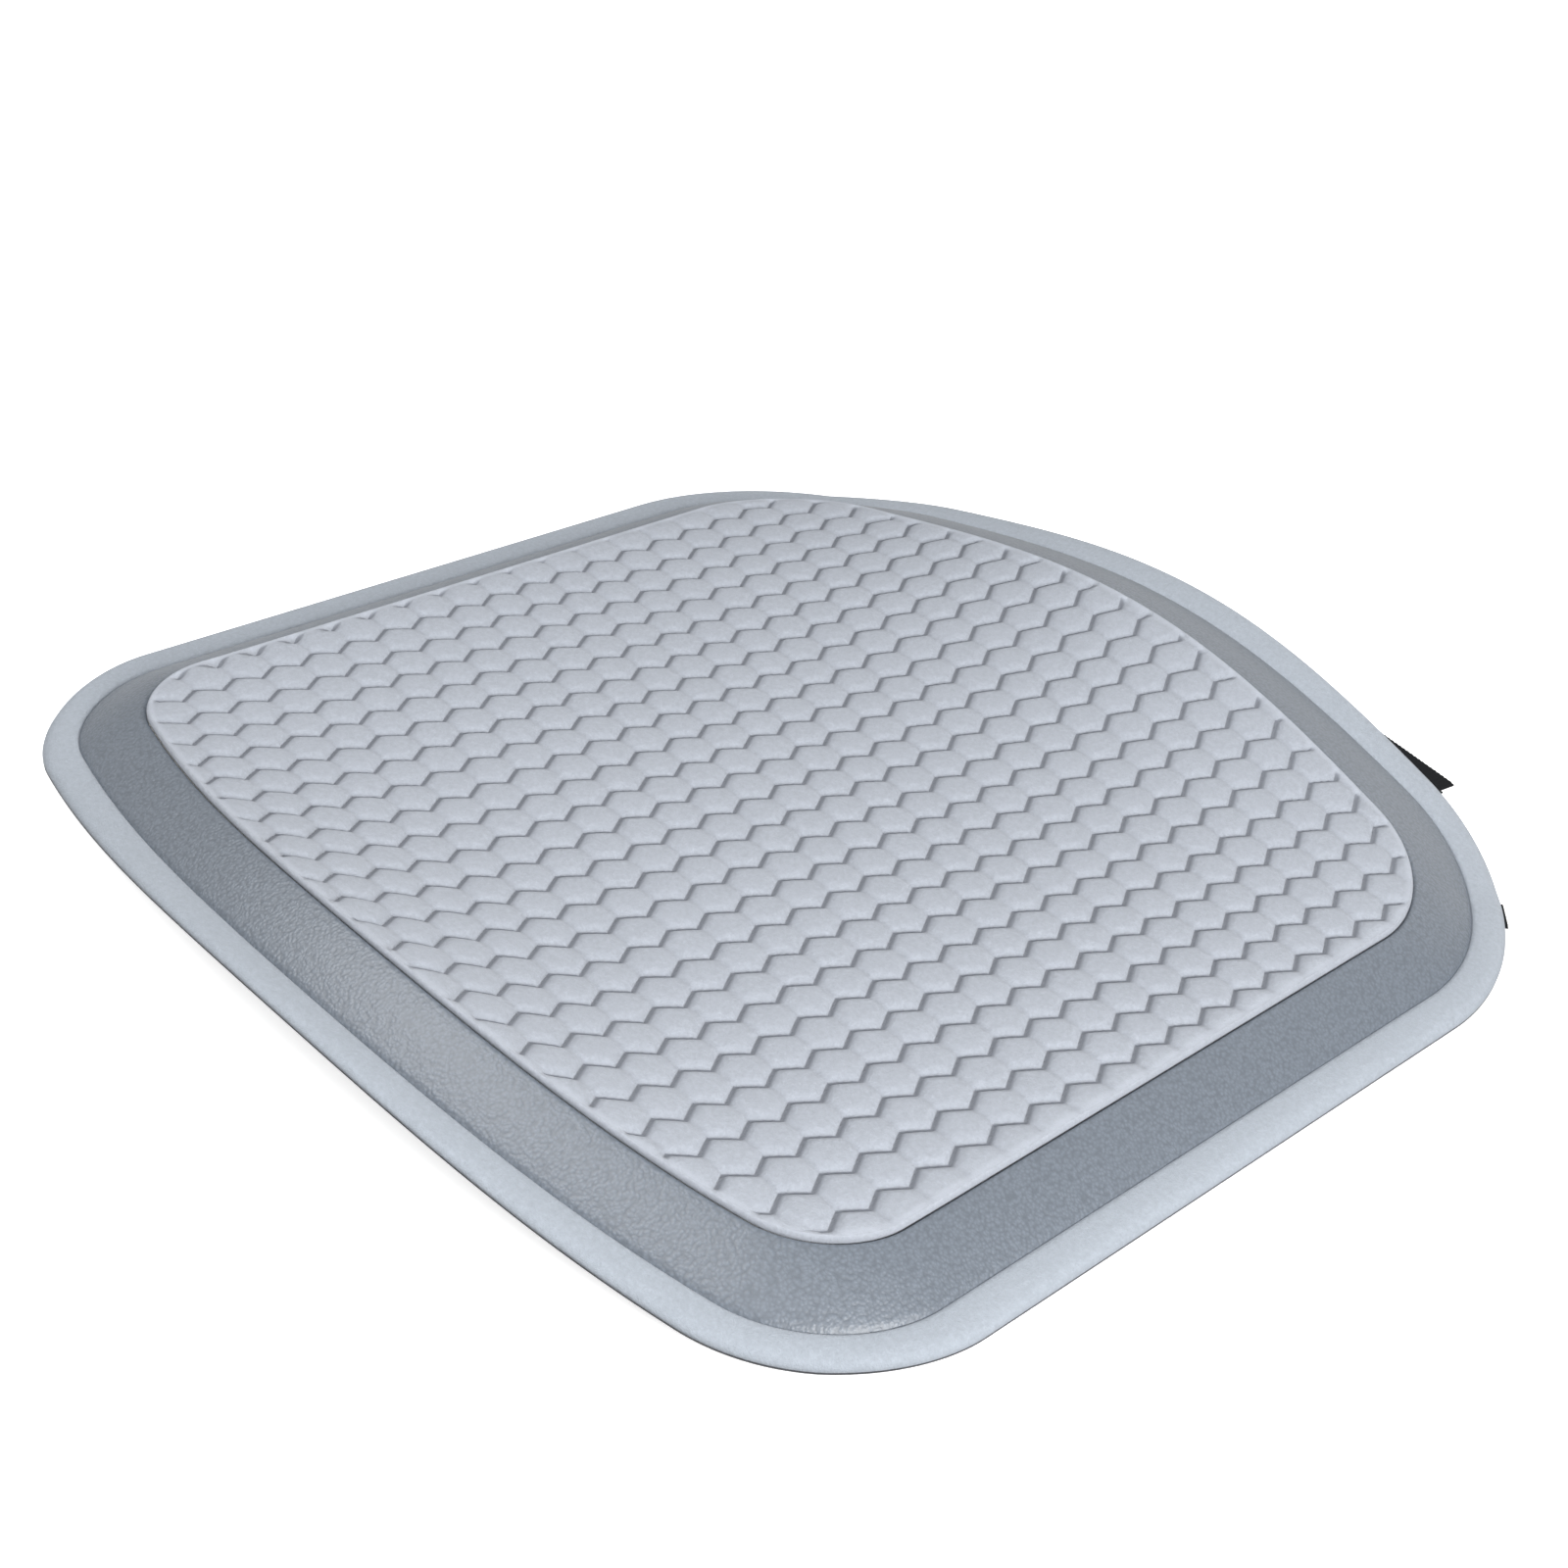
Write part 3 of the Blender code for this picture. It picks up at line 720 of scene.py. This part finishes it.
class SeatCushionSizes(bpy.types.PropertyGroup):
    cell_width: length("Cell width", 17.0 * MM, "Distance between neighbouring hexagons")
    cell_height: length("Cell height", 1.9 * MM, "Depth of the pressed grooves")
    cell_flank: length("Cell flank", 3.4 * MM, "Width over which a cell rises from its groove")
    cell_dome: length("Cell dome", 0.7 * MM, "Extra rise in the middle of a cell")
    # Crease width sets both the sunk bump and the band of painted shade along each groove.
    crease_width: length("Crease width", 1.9 * MM, "Width of the dark crease along a groove")
    smooth_margin: length("Smooth margin", 2.0 * MM, "Width of the panel's edge that has no cells")
    level_share: bpy.props.FloatProperty(
        name="Cross groove share",
        description="Depth of the grooves that run across, as a share of the others",
        default=0.22,
        min=0.0,
        max=1.0,
        subtype="FACTOR",
    )
    pattern_lean: bpy.props.FloatProperty(
        name="Pattern lean", description="How far the rows slip per unit across", default=-0.0716
    )
    pattern_start: bpy.props.FloatVectorProperty(
        name="Pattern start",
        description="Offset of the pattern, in cells",
        default=(5.051, 0.537, 0.0),
    )
    grid_step: length("Sheet step", 1.22 * MM, "Spacing of the embossed sheet's points", 0.0005)
    dot_pitch: length("Dot pitch", 8.0 * MM, "Spacing of the anti-slip dots")
    dot_radius: length("Dot radius", 1.3 * MM, "Radius of each anti-slip dot")
    rib_pitch: length("Rib pitch", 1.7 * MM, "Spacing of the elastic's ribs")


class SeatCushionColours(bpy.types.PropertyGroup):
    panel: colour("Panel", "a7acb5", "Embossed suede")
    # The groove colour is painted shade along the panel's grooves, widest on each cell's -X flank.
    groove: colour("Groove", "777b83", "Suede pressed down in the grooves")
    edge: colour("Panel edge", "acb1ba", "Smooth pressed edge of the panel")
    leather: colour("Leather", "6f7781", "Sloping band")
    rim: colour("Rim", "a6adb6", "Flat soft rim")
    base: colour("Base", "3f4249", "Underside cloth")
    rubber: colour("Dots", "1c1e22", "Anti-slip dots")
    elastic: colour("Elastic", "101113", "Strap, strap ends and tabs")
    foam: colour("Foam", "e4e1d8", "Foam layers")


def sizes():
    return bpy.context.scene.seat_cushion_sizes


def colours():
    return bpy.context.scene.seat_cushion_colours


def rides(obj, body, slot, *nodes):
    """Puts a piece on a body and hides the nodes of the frame that it stands for. The slot is not used."""
    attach(obj, body)
    if nodes:
        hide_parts(*nodes)
    return obj


# Operators.


class SEATCUSHION_OT_panel(bpy.types.Operator):
    """Adds the dished suede panel with its rows of embossed hexagons"""

    bl_idname = "seat_cushion.panel"
    bl_label = "Add honeycomb panel"

    def execute(self, context):
        s, c = sizes(), colours()
        step = s.grid_step
        # Faces nearer than this to the panel's outline are left to its pressed edge.
        kept_from = 1.0 * MM
        sheet_edge = 1.1 * MM
        low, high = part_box("honeycomb_top_panel")
        xs = np.arange(math.floor(low.x / step), math.ceil(high.x / step) + 1) * step
        ys = np.arange(math.floor(low.y / step), math.ceil(high.y / step) + 1) * step
        x, y = (g.ravel() for g in np.meshgrid(xs, ys))
        faces = grid_faces(len(ys), len(xs))
        faces = faces[(inset(PANEL, x, y)[faces] > kept_from).all(axis=1)]
        used, renamed, shares = np.unique(faces, return_inverse=True, return_counts=True)
        # A point that fewer than four faces share lies on the sheet's stepped edge.
        x, y = pulled_to_edge(x[used], y[used], shares < 4, sheet_edge)
        margin = inset(PANEL, x, y)
        points = np.column_stack([x, y, panel_height(x, y) - 0.1 * MM])
        # The groove colour goes onto the panel as painted shade along its grooves.
        suede = suede_material("microfibre_suede", tuple(c.panel), tuple(c.groove))
        obj = piece("honeycomb_panel", points, renamed.reshape(-1, 4), suede)
        point_values(obj, "margin", margin)
        use_group(
            obj,
            honeycomb_group(),
            Cell_width=s.cell_width,
            Height=s.cell_height,
            Flank=s.cell_flank,
            Dome=s.cell_dome,
            Level_share=s.level_share,
            Smooth_margin=s.smooth_margin,
            Lean=s.pattern_lean,
            Start=tuple(s.pattern_start),
            Material=suede,
        )
        applied(obj)
        rides(obj, CUSHION, "suede_panel", "honeycomb_top_panel")
        return {"FINISHED"}


class SEATCUSHION_OT_edge(bpy.types.Operator):
    """Adds the panel's smooth pressed edge, rolled down to the leather"""

    bl_idname = "seat_cushion.edge"
    bl_label = "Add panel edge"

    def execute(self, context):
        # Distance inside the panel's outline and depth below its surface, in mm.
        profile = (
            (2.2, 0.9),
            (1.6, 0.3),
            (1.3, 0.13),
            (1.1, 0.09),
            (0.85, 0.13),
            (0.6, 0.28),
            (0.35, 0.55),
            (0.15, 1.0),
            (0.03, 1.6),
            (0.1, 2.4),
            (0.5, 3.1),
        )
        suede = suede_material("pressed_suede_edge", tuple(colours().edge))
        rings = [panel_ring(level * MM, depth * MM) for level, depth in profile]
        obj = ring_piece("panel_edge", rings, suede)
        rides(obj, CUSHION, "pressed_edge", "panel_edge_welt")
        return {"FINISHED"}


class SEATCUSHION_OT_band(bpy.types.Operator):
    """Adds the sloping leather band between the panel and the rim"""

    bl_idname = "seat_cushion.band"
    bl_label = "Add leather band"

    def execute(self, context):
        leather = leather_material("pu_leather", tuple(colours().leather))
        rings = []
        under_edge = 2.0 * MM
        for share in np.linspace(0.0, 1.0, 25):
            # The slope puffs out in its middle and tucks in at both ends.
            depth = under_edge + (BAND_DROP - under_edge) * share
            puff = 1.1 * MM * math.sin(math.pi * min(1.0, share * 1.05)) ** 0.8
            tuck = 1.2 * MM * max(0.0, (share - 0.94) / 0.06) ** 2
            tuck += 0.9 * MM * max(0.0, (0.05 - share) / 0.05) ** 2
            rings.append(band_ring(share, depth - puff + tuck))
        obj = ring_piece("leather_band", rings, leather)
        rides(obj, CUSHION, "leather_band", "side_band")
        return {"FINISHED"}


class SEATCUSHION_OT_rim(bpy.types.Operator):
    """Adds the soft flat rim with its rounded outer edge"""

    bl_idname = "seat_cushion.rim"
    bl_label = "Add rim"

    def execute(self, context):
        # Distance inside the rim's outline and depth below its surface, in mm.
        profile = (
            (14.6, 1.6),
            (14.1, 0.6),
            (13.4, 0.05),
            (12.4, -0.2),
            (10.8, -0.3),
            (8.6, -0.35),
            (6.4, -0.3),
            (4.8, -0.15),
            (3.5, 0.1),
            (2.3, 0.45),
            (1.4, 0.9),
            (0.7, 1.5),
            (0.2, 2.2),
            (0.0, 2.9),
            (0.2, 3.6),
            (0.8, 4.1),
            (1.8, 4.4),
        )
        suede = suede_material("rim_suede", tuple(colours().rim))
        rings = [rim_ring(level * MM, depth * MM) for level, depth in profile]
        obj = ring_piece("soft_rim", rings, suede)
        rides(obj, CUSHION, "rim_suede", "rim_cover")
        return {"FINISHED"}


class SEATCUSHION_OT_base(bpy.types.Operator):
    """Adds the underside cloth, its anti-slip dots and the stitching round its edge"""

    bl_idname = "seat_cushion.base"
    bl_label = "Add underside"

    def execute(self, context):
        s, c = sizes(), colours()
        cloth = knit_material("base_knit", tuple(c.base))
        # Its hem rolls up a little over the rim's edge: distance inside the outline and drop, in mm.
        hem = ((0.3, -1.5), (0.1, -1.1), (0.1, -0.5), (0.6, 0.0), (8.0, 0.0))
        rings = [rim_ring(level * MM, RIM_THICKNESS + drop * MM) for level, drop in hem]
        rings += [under_ring(share, 0.0) for share in (1.0, 0.75, 0.5, 0.25, 0.0)]
        for share in np.linspace(1.0, 0.0, 22)[1:-1]:
            points = share * FOOT_SHARE * reach(PANEL, 0.0, BEARINGS)
            rings.append(with_height(points, underside_height(*points.T)))
        points = np.concatenate(rings + [np.zeros((1, 3))])
        faces = ring_faces(len(rings), AROUND).tolist()
        last, middle = (len(rings) - 1) * AROUND, len(points) - 1
        faces += [(last + i, middle, last + (i + 1) % AROUND) for i in range(AROUND)]
        obj = piece("base_underside", points, faces, cloth)
        rides(obj, CUSHION, "base_cloth", "base_cloth")
        pitch = s.dot_pitch
        row_step = pitch * HONEYCOMB_ROW
        low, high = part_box("base_cloth")
        dots = []
        for row in np.arange(math.floor(low.y / row_step), math.ceil(high.y / row_step) + 1):
            xs = np.arange(low.x // pitch, high.x // pitch + 1) * pitch + (row % 2) * pitch / 2
            dots += [(x, row * pitch * HONEYCOMB_ROW) for x in xs]
        dots = np.array(dots)
        bare_border = 27 * MM
        dots = dots[inset(OUTER, *dots.T) > bare_border]
        under = under_height(*dots.T)
        mesh = bpy.data.meshes.new("anti_slip_dots")
        mesh.from_pydata(np.column_stack([dots, under + 0.15 * MM]).tolist(), [], [])
        grips = bpy.data.objects.new("anti_slip_dots", mesh)
        context.scene.collection.objects.link(grips)
        rubber = rubber_material("soft_rubber", tuple(c.rubber))
        use_group(grips, dots_group(), Radius=s.dot_radius, Height=0.5 * MM, Material=rubber)
        applied(grips)
        rides(grips, CUSHION, "base_cloth")
        thread = elastic_material("black_thread", tuple(c.elastic))
        ring = rim_ring(5.0 * MM, RIM_THICKNESS + 0.1 * MM)
        stitch = {"Pitch": 3.4 * MM, "Length": 2.6 * MM, "Thread": 0.3 * MM}
        seam = stitch_row("base_stitching", ring, thread, **stitch)
        rides(seam, CUSHION, "base_cloth")
        return {"FINISHED"}


def sewn_rows(edge, stands, width, skew=0.0, dip=None):
    """Rows of a flat strip that is sewn under the rim and runs out past it, from `stands` outside its edge.

    `skew` turns the strip's ends by this much per unit across. `dip` gives, for how far out a row lies, the
    share by which it has come down to the height of the strap's fold.
    """
    here, along, out = edge
    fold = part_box("rear_strap")[1].z + STRAP_THICKNESS + 0.3 * MM
    rows = []
    for stand in stands:
        ends = []
        for across in (-width / 2, width / 2):
            reachout = stand + skew * across
            place = here + along * across + out * reachout
            under = here + along * across + out * min(reachout, -1.5 * MM)
            height = float(under_height(under[:1], under[1:])[0]) - UNDER_GAP
            if dip:
                height += dip(stand) * min(0.0, fold - height)
            ends.append(np.array([*place, height]))
        rows.append(ends)
    return rows


class SEATCUSHION_OT_strap_ends(bpy.types.Operator):
    """Adds the sewn ends of the strap under the rear rim, and the corner tabs"""

    bl_idname = "seat_cushion.strap_ends"
    bl_label = "Add strap ends and tabs"

    def execute(self, context):
        elastic = elastic_material("woven_elastic", tuple(colours().elastic))
        ribs = round(STRAP_WIDTH / sizes().rib_pitch)
        left_proud = 3.0 * MM
        right_proud = 6.4 * MM
        root = -24.2 * MM
        turn_start = -9.0 * MM

        def dip(stand):
            return max(0.0, (stand - turn_start) / (left_proud - turn_start)) ** 2

        # The right end pokes out past the rim, and the left one turns down to the strap's fold.
        for side, word, proud, skew, turned in (
            (-1, "left", left_proud, 0.12, dip),
            (1, "right", right_proud, 0.27, None),
        ):
            here, along, out = edge_frame(side * STRAP_ROOT_X)
            if along[0] * side < 0:
                along = -along
            stands = np.linspace(proud, root, 69)
            rows = sewn_rows((here, along, out), stands, STRAP_WIDTH, skew, turned)
            obj = ribbon(f"strap_end_{word}", rows, STRAP_THICKNESS, elastic, ribs, RIB_HEIGHT)
            rides(obj, CUSHION, "webbing", f"strap_anchor_{word}")
            corner = frame_at(math.radians(45.0 if side > 0 else 135.0))
            rows = sewn_rows(corner, np.linspace(2.0, -10.0, 13) * MM, 15.0 * MM)
            tab = ribbon(f"corner_label_{word}", rows, 1.0 * MM, elastic, 9, 0.15 * MM)
            rides(tab, CUSHION, "webbing", f"corner_tab_{word}")
        return {"FINISHED"}


class SEATCUSHION_OT_strap(bpy.types.Operator):
    """Adds the elastic loop that goes round a backrest"""

    bl_idname = "seat_cushion.strap"
    bl_label = "Add strap"

    def execute(self, context):
        elastic = elastic_material("strap_elastic", tuple(colours().elastic))
        low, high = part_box("rear_strap")
        ribs = round(STRAP_WIDTH / sizes().rib_pitch)
        top = high.z - 0.05 * MM

        def on_strap(x, y):
            return np.array([x, y, top + (y - high.y) * STRAP_TILT])

        parts = []
        for side in (-1, 1):
            outer, inner = side * high.x, side * (high.x - STRAP_WIDTH)
            ends = np.linspace(high.y, low.y + 0.3 * MM, 40)
            rows = [(on_strap(outer, y), on_strap(inner, y)) for y in ends]
            parts.append(ribbon(f"strap_leg_{side}", rows, STRAP_THICKNESS, elastic, ribs, RIB_HEIGHT))
        across = np.linspace(-high.x, high.x, 90)
        rows = [(on_strap(x, low.y), on_strap(x, low.y + STRAP_WIDTH)) for x in across]
        parts.append(ribbon("strap_cross", rows, STRAP_THICKNESS, elastic, ribs, RIB_HEIGHT))
        shape = bmesh.new()
        for part in parts:
            shape.from_mesh(part.data)
            bpy.data.objects.remove(part)
        mesh = bpy.data.meshes.new("elastic_strap")
        shape.to_mesh(mesh)
        shape.free()
        mesh.materials.append(elastic)
        mesh.shade_smooth()
        obj = bpy.data.objects.new("elastic_strap", mesh)
        context.scene.collection.objects.link(obj)
        rides(obj, STRAP, "webbing", "rear_strap")
        return {"FINISHED"}


class SEATCUSHION_OT_foam(bpy.types.Operator):
    """Dresses the foam layers inside with open-cell foam"""

    bl_idname = "seat_cushion.foam"
    bl_label = "Dress foam layers"

    def execute(self, context):
        foam = foam_material("open_cell_foam", tuple(colours().foam))
        for name in ("comfort_foam", "support_foam", "rim_filler"):
            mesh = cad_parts[name].data
            mesh.materials.clear()
            mesh.materials.append(foam)
        return {"FINISHED"}


class SEATCUSHION_OT_stage(bpy.types.Operator):
    """Adds the floor, the soft lights and the camera"""

    bl_idname = "seat_cushion.stage"
    bl_label = "Add stage"

    def execute(self, context):
        scene = context.scene
        # Plain pale floor, which glows a little so that it stays white without hard shadows.
        material, tree, shader = new_material("pale_floor")
        join(tree, shader, (0.9, 0.9, 0.9), 0.9)
        shader.inputs["Emission Color"].default_value = (1.0, 1.0, 1.0, 1.0)
        shader.inputs["Emission Strength"].default_value = 0.7
        low = -0.4 * MM  # just under the anti-slip dots
        half = 4.0  # metres, well past the view
        points = [(x * half, y * half, low) for x, y in ((-1, -1), (1, -1), (1, 1), (-1, 1))]
        floor = piece("floor", points, [(0, 1, 2, 3)], material, False)
        floor.visible_diffuse = False  # so that the bright floor adds no glow under the rim
        world = bpy.data.worlds.new("studio")
        world.use_nodes = True
        background = world.node_tree.nodes["Background"]
        background.inputs["Color"].default_value = (1.0, 1.0, 1.0, 1.0)
        background.inputs["Strength"].default_value = 0.22
        scene.world = world
        # Soft boxes: place and aim in metres, size across, and power in watts.
        for name, place, aim, size, watts in (
            ("key", (1.46, -0.3, 0.66), (0, 0, 0), 0.6, 30.0),
            ("front", (-0.62, -0.85, 1.5), (0, -0.1, 0), 1.1, 24.0),
            ("top", (-0.45, -0.45, 1.7), (0, -0.1, 0), 0.7, 4.0),
            ("rear", (-0.4, 1.8, 0.5), (0, 0.1, 0), 1.5, 9.0),
        ):
            lamp = bpy.data.lights.new(name, "AREA")
            lamp.size = size
            lamp.energy = watts
            obj = bpy.data.objects.new(name, lamp)
            obj.location = place
            obj.rotation_euler = (Vector(aim) - Vector(place)).to_track_quat("-Z", "Y").to_euler()
            scene.collection.objects.link(obj)
        camera = bpy.data.cameras.new("camera")
        camera.lens = 63.1
        camera.sensor_width = 36.0
        obj = bpy.data.objects.new("camera", camera)
        stands_at = (0.5548, -0.6145, 0.5618)
        azimuth, elevation, roll = (math.radians(v) for v in (-47.58, 33.02, 8.09))
        back = Vector(
            (
                math.cos(elevation) * math.cos(azimuth),
                math.cos(elevation) * math.sin(azimuth),
                math.sin(elevation),
            )
        )
        level = Vector((0, 0, 1)).cross(back).normalized()
        above = back.cross(level)
        right = level * math.cos(roll) + above * math.sin(roll)
        up = above * math.cos(roll) - level * math.sin(roll)
        turned = Matrix((right, up, back)).transposed().to_4x4()
        obj.matrix_world = Matrix.Translation(stands_at) @ turned
        scene.collection.objects.link(obj)
        scene.camera = obj
        scene.view_settings.view_transform = "Standard"
        return {"FINISHED"}


class SEATCUSHION_PT_sidebar(bpy.types.Panel):
    """Lists the cushion's sizes, colours and pieces"""

    bl_idname = "SEATCUSHION_PT_sidebar"
    bl_label = "Seat cushion"
    bl_space_type = "VIEW_3D"
    bl_region_type = "UI"
    bl_category = "Seat cushion"

    def draw(self, context):
        for title, group in (("Sizes", sizes()), ("Colours", colours())):
            box = self.layout.box()
            box.label(text=title)
            for name in group.__annotations__:
                box.prop(group, name)
        for operator in OPERATORS:
            self.layout.operator(operator.bl_idname)


OPERATORS = (
    SEATCUSHION_OT_panel,
    SEATCUSHION_OT_edge,
    SEATCUSHION_OT_band,
    SEATCUSHION_OT_rim,
    SEATCUSHION_OT_base,
    SEATCUSHION_OT_strap_ends,
    SEATCUSHION_OT_strap,
    SEATCUSHION_OT_foam,
    SEATCUSHION_OT_stage,
)
CLASSES = (SeatCushionSizes, SeatCushionColours, *OPERATORS, SEATCUSHION_PT_sidebar)


def register():
    for cls in CLASSES:
        bpy.utils.register_class(cls)
    bpy.types.Scene.seat_cushion_sizes = bpy.props.PointerProperty(type=SeatCushionSizes)
    bpy.types.Scene.seat_cushion_colours = bpy.props.PointerProperty(type=SeatCushionColours)


def unregister():
    del bpy.types.Scene.seat_cushion_colours
    del bpy.types.Scene.seat_cushion_sizes
    for cls in reversed(CLASSES):
        bpy.utils.unregister_class(cls)


def main():
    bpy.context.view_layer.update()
    register()
    bpy.ops.seat_cushion.panel()
    bpy.ops.seat_cushion.edge()
    bpy.ops.seat_cushion.band()
    bpy.ops.seat_cushion.rim()
    bpy.ops.seat_cushion.base()
    bpy.ops.seat_cushion.strap_ends()
    bpy.ops.seat_cushion.strap()
    bpy.ops.seat_cushion.foam()
    bpy.ops.seat_cushion.stage()


if __name__ == "__main__":
    main()
